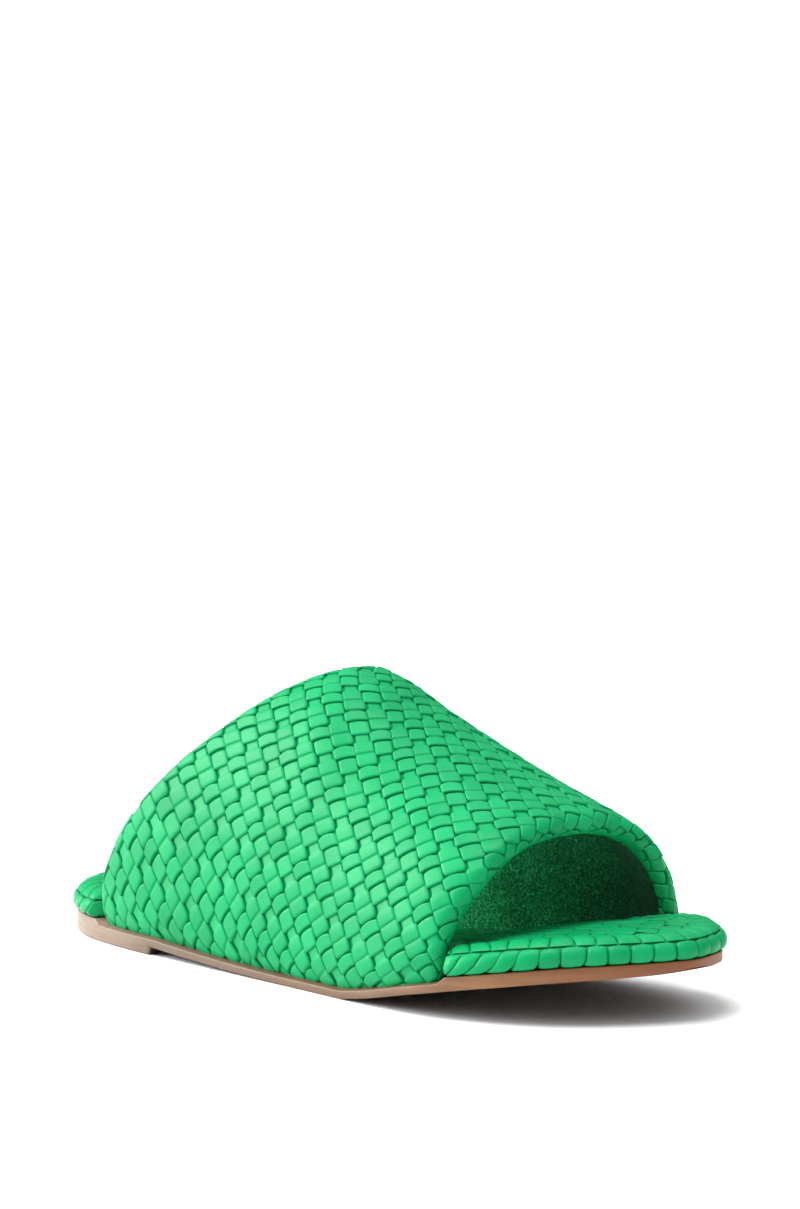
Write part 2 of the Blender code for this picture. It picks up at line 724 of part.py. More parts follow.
def woven_face(rims, bases):
    """The outer face, with the blocks of the weave, out to where its border turns round the rims."""
    loop = np.concatenate([rims["collar"], bases[1], rims["toe"][::-1], bases[-1][::-1]])
    base = np.ones(BASE_POINTS, bool)
    at_base = np.concatenate([ends_of(COLLAR_POINTS), base, ends_of(TOE_POINTS), base])
    inner, pairs = numbered(clipped(weave_lines()), len(loop))
    flat, faces, on_loop = filled(loop, inner, pairs)
    points = BAND.place(flat, np.where(on_loop < 0, groove(flat), 0))
    return settle(points, (on_loop >= 0) & at_base[on_loop]), faces


def roll_rows(name, edge):
    """Rows of points round the rest of a rolled rim, from the woven face's edge to the lining."""
    distance, nearest = BAND.inside(name, edge)
    start = -distance / ROLL
    flush = np.zeros(len(edge))
    rows = []
    for share in np.linspace(0, 1, ROLL_STEPS + 1):
        turn = start + (math.pi - start) * share
        rows.append(settle(BAND.rolled(name, nearest, turn, flush), ends_of(len(edge))))
    return rows


def lining_points(flat):
    inside = np.minimum(BAND.inside("collar", flat)[0], BAND.inside("toe", flat)[0])
    x, share = BAND.from_flat(flat)
    return BAND.point(x, share) - BAND.normal(x, share) * wall_depth(inside)[:, None]


def lining_face(rims, bases, rolls, feet):
    """The inner face, between the two rolls and the inner edges of the band's feet."""
    near = {name: BAND.inside(name, edge)[1] for name, edge in rims.items()}
    loop = np.concatenate([near["collar"], bases[1][1:-1], near["toe"][::-1], bases[-1][-2:0:-1]])
    edge = np.concatenate([rolls["collar"][-1], feet[1], rolls["toe"][-1][::-1], feet[-1][::-1]])
    low, high = loop.min(axis=0), loop.max(axis=0)
    forward, up = (np.arange(a, b, LINING_SPACING) for a, b in zip(low, high))
    spots = np.stack(np.meshgrid(forward, up), axis=-1).reshape(-1, 2)
    spots = spots[BAND.clearance(spots) > ROLL * WOVEN_TURN + LINING_MARGIN]
    flat, faces, on_loop = filled(loop, spots, [])
    points = lining_points(flat)
    points[on_loop >= 0] = edge[on_loop[on_loop >= 0]]
    return points, faces


def foot_face(side, base, rolls, foot):
    """The lower edge of the band on one side, a closed loop round the wall's foot."""
    end = 0 if side < 0 else -1
    outside = settle(BAND.place(base, np.zeros(BASE_POINTS)))
    front = [row[end] for row in rolls["toe"]]
    back = [row[end] for row in reversed(rolls["collar"])]
    loop = np.concatenate([outside, front, foot[::-1], back])
    points, faces, _ = filled(loop[:, :2], [], [])
    return np.column_stack([points, base_height(points[:, 0])]), faces


def upper():
    rims = {
        "collar": rim_chain("collar", collar_x, COLLAR_POINTS),
        "toe": rim_chain("toe", toe_opening_x, TOE_POINTS),
    }
    bases = {side: base_chain(side) for side in (-1, 1)}
    rolls = {name: roll_rows(name, edge) for name, edge in rims.items()}
    feet = {side: settle(lining_points(chain[1:-1])) for side, chain in bases.items()}
    patches = [woven_face(rims, bases), lining_face(rims, bases, rolls, feet)]
    patches += [strip_patch(rows, False) for rows in rolls.values()]
    patches += [foot_face(side, bases[side], rolls, feet[side]) for side in (-1, 1)]
    return solid("upper", patches)


def finish(piece):
    material = bpy.data.materials.new(piece.name)
    material.use_nodes = True
    shader = material.node_tree.nodes["Principled BSDF"]
    shader.inputs["Base Color"].default_value = (*FINISH[piece.name]["colour"], 1)
    shader.inputs["Roughness"].default_value = FINISH[piece.name]["roughness"]
    shader.inputs["Metallic"].default_value = 0
    piece.data.materials.append(material)


def main():
    for piece in list(bpy.data.objects):
        bpy.data.objects.remove(piece)
    shoe = bpy.data.collections.new("braided_flat_sandal")
    bpy.context.scene.collection.children.link(shoe)
    pieces = [outsole(), footbed(), upper()]
    corners = np.array([tuple(vert.co) for piece in pieces for vert in piece.data.vertices])
    middle = (corners.min(axis=0) + corners.max(axis=0)) / 2
    for piece in pieces:
        piece.data.transform(Matrix.Translation((-middle[0], -middle[1], 0)))
        finish(piece)
        shoe.objects.link(piece)


main()
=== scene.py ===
import math
import random

import bmesh
import bpy
import numpy as np
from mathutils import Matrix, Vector


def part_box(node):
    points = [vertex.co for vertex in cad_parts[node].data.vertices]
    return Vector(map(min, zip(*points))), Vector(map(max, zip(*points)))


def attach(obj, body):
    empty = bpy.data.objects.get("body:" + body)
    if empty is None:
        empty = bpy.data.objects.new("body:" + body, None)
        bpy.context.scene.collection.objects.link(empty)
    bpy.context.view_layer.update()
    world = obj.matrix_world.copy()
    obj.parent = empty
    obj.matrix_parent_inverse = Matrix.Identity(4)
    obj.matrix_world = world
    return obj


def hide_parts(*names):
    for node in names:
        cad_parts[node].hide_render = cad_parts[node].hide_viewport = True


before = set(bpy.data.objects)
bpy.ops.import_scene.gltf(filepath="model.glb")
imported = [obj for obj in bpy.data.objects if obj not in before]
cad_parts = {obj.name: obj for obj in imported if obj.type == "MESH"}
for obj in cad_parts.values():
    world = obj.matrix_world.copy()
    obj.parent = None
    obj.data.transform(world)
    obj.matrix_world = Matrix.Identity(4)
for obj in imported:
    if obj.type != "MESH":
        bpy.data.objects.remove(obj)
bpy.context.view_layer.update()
mm = 0.001
weld = 0.01 * mm
print("frame: loaded", sorted(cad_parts))


# The shoe's last, in millimetres from the back of the heel, outer side at -y, as the solids have it.
last = {
    "heelBack": (0.0, 0.0),
    "toeTip": (250.0, 8.0),
    "plan": [  # x, outer edge, inner edge
        (5, -14.0, 14.5), (12, -21.5, 21.5), (25, -28.5, 28.5), (45, -33.0, 31.5), (65, -35.3, 31.5),
        (90, -37.0, 29.5), (115, -38.6, 28.5), (140, -40.4, 31.0), (160, -42.4, 35.5), (175, -43.8, 39.0),
        (185, -44.2, 41.0), (195, -43.3, 42.0), (210, -39.0, 41.5), (220, -34.0, 40.0), (230, -26.5, 36.5),
        (240, -14.0, 29.5), (246, -3.0, 22.0),
    ],
    "side": [  # x, lift over the floor, sole sheet, footbed
        (0, 2.3, 4.5, 8.0), (61, 2.3, 4.5, 8.0), (70, 1.9, 4.4, 8.0), (85, 1.2, 4.3, 8.0),
        (105, 0.4, 4.3, 8.0), (130, 0.0, 4.3, 8.0), (150, 0.0, 4.3, 8.0), (160, 1.2, 4.3, 8.0),
        (170, 3.1, 4.3, 8.0), (185, 6.2, 4.3, 8.0), (210, 10.6, 4.3, 8.0), (230, 13.4, 4.3, 7.6),
        (240, 14.3, 4.1, 7.2), (246, 15.0, 3.6, 6.9), (250, 15.9, 2.9, 6.8),
    ],
    "arch": [  # x, top's y, top's height, how square the shoulders are
        (20, 0.0, 84.0, 2.2), (60, 0.0, 86.0, 2.2), (100, 1.0, 90.6, 2.2), (118, 2.0, 91.6, 2.25),
        (128, 2.5, 89.4, 2.3), (144, 3.0, 82.2, 2.3), (166, 3.0, 72.6, 2.35), (185, 3.0, 64.6, 2.4),
        (204, 3.0, 57.4, 2.55), (225, 3.0, 49.5, 2.6),
    ],
    "collar": [  # share of the way over the arch, x of the rim
        (0.0, 36.0), (0.06, 36.0), (0.12, 40.0), (0.19, 50.0), (0.27, 65.5), (0.35, 84.5), (0.42, 101.5),
        (0.47, 112.5), (0.52, 119.0), (0.57, 119.0), (0.63, 111.5), (0.7, 96.0), (0.78, 78.0),
        (0.86, 60.0), (0.94, 48.5), (1.0, 46.0),
    ],
    "toeOpening": [
        (0.0, 191.5), (0.06, 192.5), (0.12, 195.5), (0.2, 200.2), (0.3, 203.6), (0.4, 204.6), (0.5, 204.9),
        (0.7, 207.2), (0.85, 209.0), (1.0, 210.0),
    ],
    "gap": 0.3,
    "heelBreast": 60.0,
    "breastSlope": 0.8,
    "rebateDepth": 1.7,
    "wall": 4.5,
    "roll": 3.6,
    "rollEase": 14.0,
    "overhang": 0.5,
    "coneLength": 464.0,
    "tuck": 2.6,
    "tuckReach": 9.0,
}


def curveThrough(rows, column):  # smooth through the rows, without overshoot
    at = np.array([row[0] for row in rows], float)
    value = np.array([row[column] for row in rows], float)
    step = np.diff(at)
    rise = np.diff(value) / step
    slope = np.concatenate([rise[:1], np.zeros(len(at) - 2), rise[-1:]])
    for k in range(1, len(at) - 1):
        if rise[k - 1] * rise[k] > 0:
            slope[k] = 2 * rise[k - 1] * rise[k] / (rise[k - 1] + rise[k])

    def curve(x):
        x = np.clip(x, at[0], at[-1])
        k = np.clip(np.searchsorted(at, x) - 1, 0, len(step) - 1)
        t = (x - at[k]) / step[k]
        blend = value[k] * (1 + 2 * t) * (1 - t) ** 2 + value[k + 1] * t * t * (3 - 2 * t)
        return blend + step[k] * (slope[k] * t * (1 - t) ** 2 - slope[k + 1] * t * t * (1 - t))

    return curve


def closedCurve(points, steps):
    points = np.array(points, float)
    t = np.linspace(0, 1, steps, endpoint=False)[:, None]
    spans = []
    for k in range(len(points)):
        a, b, c, d = (points[(k + j) % len(points)] for j in (-1, 0, 1, 2))
        bend = (2 * a - 5 * b + 4 * c - d) * t**2 + (3 * b - a - 3 * c + d) * t**3
        spans.append(0.5 * (2 * b + (c - a) * t + bend))
    return np.concatenate(spans)


def ease(t):
    t = np.clip(t, 0, 1)
    return t * t * (3 - 2 * t)


def between(first, second, share):
    return first + (second - first) * share


def unit(vectors):
    return vectors / np.linalg.norm(vectors, axis=-1, keepdims=True)


soleLift = curveThrough(last["side"], 1)
sheetDepth = curveThrough(last["side"], 2)
padDepth = curveThrough(last["side"], 3)
archY = curveThrough(last["arch"], 1)
archZ = curveThrough(last["arch"], 2)
archFullness = curveThrough(last["arch"], 3)
collarX = curveThrough(last["collar"], 1)
toeOpeningX = curveThrough(last["toeOpening"], 1)


def soleTop(x):
    return soleLift(x) + sheetDepth(x)


def soleBottom(x):
    return soleLift(x) * ease((x - last["heelBreast"]) / last["breastSlope"])


def bandFoot(x):
    return soleTop(x) - last["rebateDepth"] + last["gap"]


# The sole's edge from above: heel, outer side, tip, inner side.
splineSteps = 24
outerPlan = [(x, outer) for x, outer, inner in last["plan"]]
innerPlan = [(x, inner) for x, outer, inner in reversed(last["plan"])]
soleEdge = closedCurve([last["heelBack"]] + outerPlan + [last["toeTip"]] + innerPlan, splineSteps)
tipAt = splineSteps * (len(outerPlan) + 1)
edgeAlong = np.roll(soleEdge, -1, axis=0) - np.roll(soleEdge, 1, axis=0)
edgeOutward = unit(np.stack([edgeAlong[:, 1], -edgeAlong[:, 0]], axis=1))
outerLine = soleEdge[: tipAt + 1]
innerLine = np.vstack([soleEdge[:1], soleEdge[:tipAt - 1:-1]])

# Where the shoe's own zero lies in the frame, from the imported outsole's box.
soleLow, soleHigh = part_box("outsole")
shoeZero = np.array([
    soleLow.x / mm,
    (soleLow.y + soleHigh.y) / 2 / mm - (soleEdge[:, 1].min() + soleEdge[:, 1].max()) / 2,
    0.0,
])


def outerY(x):
    return np.interp(x, outerLine[:, 0], outerLine[:, 1])


def innerY(x):
    return np.interp(x, innerLine[:, 0], innerLine[:, 1])


# The band's outer face as a grid of sections, read by x and by the share of the way over the arch.
sectionStep = 2.0
archSamples = 241
measureSamples = 4 * archSamples  # finer, to measure along the arch
bandXs = np.arange(last["arch"][0][0], last["arch"][-1][0] + sectionStep, sectionStep)


def bandSection(x):
    turn = np.linspace(0, math.pi, measureSamples)
    edge = np.where(turn < math.pi / 2, outerY(x) - last["overhang"], innerY(x) + last["overhang"])
    power = 2 / archFullness(x)
    y = archY(x) + (edge - archY(x)) * np.abs(np.cos(turn)) ** power
    z = bandFoot(x) + (archZ(x) - bandFoot(x)) * np.abs(np.sin(turn)) ** power
    along = np.concatenate([[0], np.cumsum(np.hypot(np.diff(y), np.diff(z)))])
    girth = along[-1]
    at = np.linspace(0, girth, archSamples)
    points = [np.full(archSamples, x), np.interp(at, along, y), np.interp(at, along, z)]
    return girth, np.column_stack(points)


sections = [bandSection(x) for x in bandXs]
bandGirth = np.array([girth for girth, points in sections])
bandGrid = np.array([points for girth, points in sections])
lastCell = 1.001  # a hair over one, so that the grid's last point still has a next one
slopeStep, slopeShare = 2.0, 0.008  # how far to both sides a slope is taken, along and over the arch


def girthAt(x):
    return np.interp(x, bandXs, bandGirth)


def bandPoint(x, share):
    row = np.clip((x - bandXs[0]) / sectionStep, 0, len(bandXs) - lastCell)
    column = np.clip(share, 0, 1) * (archSamples - lastCell)
    r, c = row.astype(int), column.astype(int)
    u, v = (row - r)[:, None], (column - c)[:, None]
    near = bandGrid[r, c] * (1 - v) + bandGrid[r, c + 1] * v
    far = bandGrid[r + 1, c] * (1 - v) + bandGrid[r + 1, c + 1] * v
    return near * (1 - u) + far * u


def bandNormal(x, share):
    share = np.clip(share, 0, 1)
    ahead = bandPoint(x + slopeStep, share) - bandPoint(x - slopeStep, share)
    over = bandPoint(x, np.minimum(share + slopeShare, 1)) - bandPoint(x, np.maximum(share - slopeShare, 0))
    return unit(np.cross(ahead, over))


def toFlat(x, share):  # unrolled like a cone: forward along the outer foot, and up from it
    radius = last["coneLength"] - x
    turn = share * girthAt(x) / radius
    return np.stack([last["coneLength"] - radius * np.cos(turn), radius * np.sin(turn)], axis=-1)


def fromFlat(flat):
    ahead = last["coneLength"] - flat[:, 0]
    radius = np.hypot(ahead, flat[:, 1])
    x = last["coneLength"] - radius
    return x, np.arctan2(flat[:, 1], ahead) * radius / girthAt(x)


rimPast, rimPoints = 0.05, 177  # the rims' lines run on a little past the feet
rimShares = np.linspace(-rimPast, 1 + rimPast, rimPoints)
rims = {  # inside: the side of the line where the band is
    "collar": {"x": collarX, "line": toFlat(collarX(rimShares), rimShares), "inside": -1},
    "toe": {"x": toeOpeningX, "line": toFlat(toeOpeningX(rimShares), rimShares), "inside": 1},
}
pointsAtOnce = 4000  # keeps the tables of distances small


def nearestOn(start, step, places):  # distance to a line, positive on its left, and the line's nearest point
    found, nearest = [], []
    for part in np.array_split(places, len(places) // pointsAtOnce + 1):
        away = part[:, None, :] - start[None]
        t = np.clip((away * step).sum(2) / (step * step).sum(1), 0, 1)
        distance = np.linalg.norm(away - t[..., None] * step, axis=2)
        k = np.argmin(distance, axis=1)
        rows = np.arange(len(part))
        cross = step[k, 0] * away[rows, k, 1] - step[k, 1] * away[rows, k, 0]
        found.append(np.sign(cross) * distance[rows, k])
        nearest.append(start[k] + t[rows, k][:, None] * step[k])
    return np.concatenate(found), np.concatenate(nearest)


def rimDistance(name, flat):  # how far inside a rim, and the nearest point of the rim
    line = rims[name]["line"]
    distance, nearest = nearestOn(line[:-1], np.diff(line, axis=0), flat)
    return distance * rims[name]["inside"], nearest


def rimsDistance(flat):  # how far inside the nearer rim
    return np.minimum(*[rimDistance(name, flat)[0] for name in rims])


def wallDepth(inside, atRim):  # the wall's thickness, which grows towards the rims
    return between(last["wall"], atRim, 1 - ease(inside / last["rollEase"]))


def footTuck(x, share):  # how far the strips draw in just over the sole
    rise = np.minimum(share, 1 - share) * girthAt(x)
    short = np.clip(1 - rise / last["tuckReach"], 0, 1)
    return last["tuck"] * short**2


def onRoll(name, nearest, turn, height):
    rim = rims[name]
    x, share = fromFlat(nearest)
    height = height - footTuck(x, share) * (1 + np.cos(turn)) / 2
    normal = bandNormal(x, share)
    before, after = np.maximum(share - slopeShare, 0), np.minimum(share + slopeShare, 1)
    along = bandPoint(rim["x"](after), after) - bandPoint(rim["x"](before), before)
    out = unit(np.cross(along, normal)) * rim["inside"]
    swing = normal * np.cos(turn)[:, None] + out * np.sin(turn)[:, None]
    return bandPoint(x, share) - normal * last["roll"] + swing * (last["roll"] + height)[:, None]


def onBand(flat, height, lastTurn):  # points of the sheet in the shoe, with the rims rolled in
    x, share = fromFlat(flat)
    points = bandPoint(x, share) + bandNormal(x, share) * (height - footTuck(x, share))[:, None]
    for name in rims:
        distance, nearest = rimDistance(name, flat)
        over = distance < 0
        if over.any():
            turn = np.minimum(-distance[over] / last["roll"], lastTurn)
            points[over] = onRoll(name, nearest[over], turn, height[over])
    return points


def newGrid(bm, wide, long):  # a flat grid's points, and their places from -1 to 1
    made = bmesh.ops.create_grid(bm, x_segments=wide, y_segments=long, size=1.0)["verts"]
    return made, np.array([vert.co[:2] for vert in made])


def setPoints(verts, points):  # millimetres in the shoe to metres in the frame
    for vert, point in zip(verts, (points + shoeZero) * mm):
        vert.co = point


def smoothPiece(name, bm, material):
    for face in bm.faces:
        face.smooth = True
    mesh = bpy.data.meshes.new(name)
    bm.to_mesh(mesh)
    bm.free()
    piece = bpy.data.objects.new(name, mesh)
    bpy.context.scene.collection.objects.link(piece)
    mesh.materials.append(material)
    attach(piece, "root")
    triangles = sum(len(polygon.vertices) - 2 for polygon in mesh.polygons)
    print(name + ":", len(mesh.vertices), "points,", triangles, "triangles")
    return piece


# Materials. A noise is its scale, its detail and, if it has one, its stretch.
# A bump is its depth in metres and its strength.


def newMaterial(name):
    material = bpy.data.materials.new(name)
    material.use_nodes = True
    nodes = material.node_tree.nodes
    return material, nodes, material.node_tree.links, nodes["Principled BSDF"]


def noise(nodes, links, scale, detail, stretch=None):
    place = nodes.new("ShaderNodeTexCoord")
    texture = nodes.new("ShaderNodeTexNoise")
    texture.inputs["Scale"].default_value = scale
    texture.inputs["Detail"].default_value = detail
    source = place.outputs["Object"]
    if stretch:
        mapping = nodes.new("ShaderNodeMapping")
        mapping.inputs["Scale"].default_value = stretch
        links.new(source, mapping.inputs["Vector"])
        source = mapping.outputs["Vector"]
    links.new(source, texture.inputs["Vector"])
    return texture.outputs["Fac"]


def shareAlong(nodes, links, start, end):  # from 0 to 1 between two places along the shoe
    place = nodes.new("ShaderNodeTexCoord")
    along = nodes.new("ShaderNodeSeparateXYZ")
    links.new(place.outputs["Object"], along.inputs["Vector"])
    share = nodes.new("ShaderNodeMapRange")
    share.inputs["From Min"].default_value = start
    share.inputs["From Max"].default_value = end
    links.new(along.outputs["X"], share.inputs["Value"])
    return share.outputs["Result"]


def painted(nodes, name):  # a value that the piece's own points carry
    node = nodes.new("ShaderNodeAttribute")
    node.attribute_name = name
    return node.outputs["Fac"]


def colourRamp(nodes, links, source, stops):
    node = nodes.new("ShaderNodeValToRGB")
    while len(node.color_ramp.elements) < len(stops):
        node.color_ramp.elements.new(0.5)
    for element, (at, colour) in zip(node.color_ramp.elements, stops):
        element.position = at
        element.color = (*colour, 1)
    links.new(source, node.inputs["Fac"])
    return node.outputs["Color"]


def greyRamp(nodes, links, source, stops):
    return colourRamp(nodes, links, source, [(at, (grey,) * 3) for at, grey in stops])


def mixed(nodes, links, kind, share, first, second):
    node = nodes.new("ShaderNodeMix")
    node.data_type = "RGBA"
    node.blend_type = kind
    for socket, value in ((0, share), (6, first), (7, second)):  # the colour mix's own sockets
        if isinstance(value, bpy.types.NodeSocket):
            links.new(value, node.inputs[socket])
        else:
            node.inputs[socket].default_value = value
    return node.outputs[2]


def bumped(nodes, links, shader, heights):  # heights: source, depth, strength
    normal = None
    for source, depth, strength in heights:
        node = nodes.new("ShaderNodeBump")
        node.inputs["Distance"].default_value = depth
        node.inputs["Strength"].default_value = strength
        links.new(source, node.inputs["Height"])
        if normal:
            links.new(normal, node.inputs["Normal"])
        normal = node.outputs["Normal"]
    links.new(normal, shader.inputs["Normal"])


leatherLook = {
    "cloud": (55.0, 4.0),
    "dye": [(0.3, (0.001, 0.255, 0.081)), (0.5, (0.002, 0.288, 0.094)), (0.75, (0.006, 0.316, 0.109))],
    "stripTones": [(0.0, 0.94), (1.0, 1.06)],
    # painted shade: the darker green given to the strips' rounded edges and folds, where they dip into the
    # gaps
    "edgeShade": (0.001, 0.255, 0.081),
    "grain": (1500.0, 3.0),
    "grainBump": (0.00012, 0.35),
    "pores": (5200.0, 1.0),
    "poreBump": (0.00004, 0.25),
    "roughness": [(0.3, 0.32), (0.7, 0.46)],  # by the grain
    "specular": 0.12,
}


def greenLeather():
    look = leatherLook
    material, nodes, links, shader = newMaterial("greenLeather")
    cloud = noise(nodes, links, *look["cloud"])
    colour = colourRamp(nodes, links, cloud, look["dye"])
    tint = greyRamp(nodes, links, painted(nodes, "stripTone"), look["stripTones"])
    colour = mixed(nodes, links, "MULTIPLY", 1.0, colour, tint)
    # Painted shade at the strips' edges and folds, by how far each point lies down the edge.
    colour = mixed(nodes, links, "MIX", painted(nodes, "stripEdge"), colour, (*look["edgeShade"], 1))
    links.new(colour, shader.inputs["Base Color"])
    grain = noise(nodes, links, *look["grain"])
    pores = noise(nodes, links, *look["pores"])
    links.new(greyRamp(nodes, links, grain, look["roughness"]), shader.inputs["Roughness"])
    shader.inputs["Specular IOR Level"].default_value = look["specular"]
    bumped(nodes, links, shader, [(grain, *look["grainBump"]), (pores, *look["poreBump"])])
    return material


suedeLook = {
    "nap": (1300.0, 3.0),
    "napColours": [(0.36, (0.004, 0.085, 0.032)), (0.52, (0.010, 0.165, 0.064)), (0.7, (0.045, 0.36, 0.17))],
    "napBump": (0.0005, 0.6),
    "cloud": (90.0, 3.0),
    "cloudTones": [(0.3, 0.75), (0.7, 1.15)],
    "paintedLightFrom": 120.0,  # x where the lining's painted light gives way to painted shade, in millimetres
    "paintedLightTo": 200.0,
    "paintedLightTones": [(0.0, 4.4), (1.0, 0.3)],
    "backing": (0.001, 0.235, 0.07),
    "roughness": 0.95,
    "specular": 0.2,
    "sheen": 0.25,
    "sheenTint": (0.1, 0.6, 0.3),
}


def greenSuede():
    look = suedeLook
    material, nodes, links, shader = newMaterial("greenSuede")
    nap = noise(nodes, links, *look["nap"])
    cloud = noise(nodes, links, *look["cloud"])
    speckle = colourRamp(nodes, links, nap, look["napColours"])
    shade = greyRamp(nodes, links, cloud, look["cloudTones"])
    colour = mixed(nodes, links, "MULTIPLY", 1.0, speckle, shade)
    # Painted light and shade along the lining: far lighter towards the heel, where light falls in through the
    # collar, and darker towards the toe opening under the band's roof.
    start, end = ((look[name] + shoeZero[0]) * mm for name in ("paintedLightFrom", "paintedLightTo"))
    paintedLight = greyRamp(nodes, links, shareAlong(nodes, links, start, end), look["paintedLightTones"])
    colour = mixed(nodes, links, "MULTIPLY", 1.0, colour, paintedLight)
    colour = mixed(nodes, links, "MIX", painted(nodes, "covered"), colour, (*look["backing"], 1))
    links.new(colour, shader.inputs["Base Color"])
    shader.inputs["Roughness"].default_value = look["roughness"]
    shader.inputs["Specular IOR Level"].default_value = look["specular"]
    shader.inputs["Sheen Weight"].default_value = look["sheen"]
    shader.inputs["Sheen Tint"].default_value = (*look["sheenTint"], 1)
    bumped(nodes, links, shader, [(nap, *look["napBump"])])
    return material


soleLook = {
    "toneAndPaintedShade": [  # share of the length from the heel's back, colour: the sole's own tan with painted shade, darker along the middle where the band's overhang shades the edge, and painted light, paler at the heel's back
        (0.03, (0.27, 0.200, 0.155)), (0.12, (0.26, 0.178, 0.130)), (0.23, (0.155, 0.100, 0.066)),
        (0.55, (0.135, 0.074, 0.041)), (0.76, (0.165, 0.082, 0.040)), (0.84, (0.240, 0.108, 0.042)),
        (0.97, (0.215, 0.072, 0.021)),
    ],
    "streak": (60.0, 3.0, (1.0, 1.0, 12.0)),
    "streakTones": [(0.35, 0.86), (0.65, 1.06)],
    # the underside, painted near black-brown so that the shade on the floor beneath the sole comes out darker
    "underShade": (0.045, 0.030, 0.022),
    "speck": (2400.0, 2.0),
    "speckBump": (0.00008, 0.3),
    "roughness": 0.45,
    "specular": 0.4,
}


def tanSole():
    look = soleLook
    material, nodes, links, shader = newMaterial("tanSole")
    # The colour along the sole carries painted shade under the band's overhang and painted light at the
    # heel's back, over the sole's own tan.
    colour = colourRamp(nodes, links, shareAlong(nodes, links, soleLow.x, soleHigh.x), look["toneAndPaintedShade"])
    lines = greyRamp(nodes, links, noise(nodes, links, *look["streak"]), look["streakTones"])
    colour = mixed(nodes, links, "MULTIPLY", 1.0, colour, lines)
    # The underside takes the dark colour that deepens the shade beneath the sole.
    colour = mixed(nodes, links, "MIX", painted(nodes, "underShade"), colour, (*look["underShade"], 1))
    links.new(colour, shader.inputs["Base Color"])
    shader.inputs["Roughness"].default_value = look["roughness"]
    shader.inputs["Specular IOR Level"].default_value = look["specular"]
    speck = noise(nodes, links, *look["speck"])
    bumped(nodes, links, shader, [(speck, *look["speckBump"])])
    return material


leather = greenLeather()
suede = greenSuede()
rubber = tanSole()
print("materials: leather, suede, sole")


# The weave: each strip that lies on top is a small pad, one crossing or three crossings long.
# Places on a pad are counted in crossings: across to the next column strip, down to the next row strip.
weave = {
    "line": [  # column strip, its place on the sheet at the middle row strip, its step to the next one
        (-30, 8.0, -92.0, 3.9, -4.4), (-10, 73.8, 18.4, 3.9, -4.4), (-5, 99.6, 41.3, 2.75, -3.8),
        (0, 132.5, 57.4, 2.2, -3.5), (5, 164.0, 70.5, 2.3, -3.5), (10, 185.4, 84.5, 3.0, -3.85),
        (30, 251.0, 146.5, 3.0, -3.85),
    ],
    "plainStep": (2.3, -3.6),  # a column strip's step outside the bent rows
    "bow": (0.0, -0.03),  # by the square of the row
    "bent": (-10, 14),  # first and last of the bent rows
    "rowSpacing": 4.4,
    "repeat": 5,
    "columnStep": 2,
    "columns": 29,
    "rows": 45,
    "bed": 0.8,
    "drop": 0.65,
    "dropPower": 22.0,
    "crowding": 2.2,
    "wrapTurn": math.radians(165),
    "shiftJitter": 0.02,
    "sizeJitter": 0.02,
    "heightJitter": 0.05,
    "turnJitter": math.radians(1.5),
    "seed": 7,
    "short": {  # half sizes in crossings, heights in millimetres
        "middle": (0.5, 0.5), "wide": 0.489, "long": 0.615, "narrowed": 0.05, "shortened": 0.04,
        "sag": 0.04, "height": 0.03, "lift": 0.11, "droop": 0.06,
    },
    "arch": {
        "middle": (0.465, 0.31), "wide": 0.575, "long": 0.455, "shortened": 0.18,
        "sag": 0.16, "height": 0.11, "slope": 0.05, "droop": 0.14,
    },
    "floatRows": [  # place down the strip, half-width to the left and right, height in millimetres, fold
        (0.0, 0.34, 0.33, -0.60, 0.0), (0.3, 0.34, 0.33, -0.46, 0.0), (0.55, 0.34, 0.33, -0.38, 0.0),
        (0.7, 0.345, 0.335, -0.31, 0.0), (0.76, 0.39, 0.38, -0.23, 0.0), (0.8, 0.45, 0.44, -0.15, 0.0),
        (0.88, 0.484, 0.48, -0.05, 0.0), (1.1, 0.491, 0.487, 0.03, 0.0), (1.6, 0.492, 0.488, 0.03, 0.0),
        (1.70, 0.490, 0.487, 0.0, 0.08), (1.75, 0.484, 0.482, -0.04, 0.5), (1.79, 0.484, 0.488, -0.02, 0.5),
        (1.84, 0.490, 0.505, 0.04, 0.08), (1.92, 0.493, 0.53, 0.10, 0.0), (2.2, 0.497, 0.565, 0.15, 0.0),
        (2.5, 0.495, 0.565, 0.16, 0.0), (2.66, 0.48, 0.55, 0.13, 0.0), (2.76, 0.455, 0.52, 0.05, 0.1),
        (2.82, 0.41, 0.47, -0.12, 0.4), (2.86, 0.35, 0.40, -0.5, 1.0),
    ],
}


def border(s, t):  # the rounded edge of a pad, from 0 on top to 1 at its foot
    left = (1 - np.abs(s) ** weave["dropPower"]) * (1 - np.abs(t) ** weave["dropPower"])
    return 1 - np.sqrt(np.maximum(left, 0))


def shortPad(s, t):  # a row strip's square, its lower edge lifted
    pad = weave["short"]
    across = pad["middle"][0] + pad["wide"] * s * (1 - pad["narrowed"] * t**4)
    down = pad["middle"][1] + pad["long"] * t * (1 - pad["shortened"] * s**4) + pad["sag"] * s * s * (1 - t)
    return across, down, pad["height"] + pad["lift"] * t - pad["droop"] * s**4, border(s, t)


def archPad(s, t):  # a row strip's low arch, over the end of the float above it
    pad = weave["arch"]
    across = pad["middle"][0] + pad["wide"] * s
    down = pad["middle"][1] + pad["sag"] * s * s + pad["long"] * t * (1 - pad["shortened"] * s * s)
    return across, down, pad["height"] - pad["slope"] * t - pad["droop"] * s**4, border(s, t)


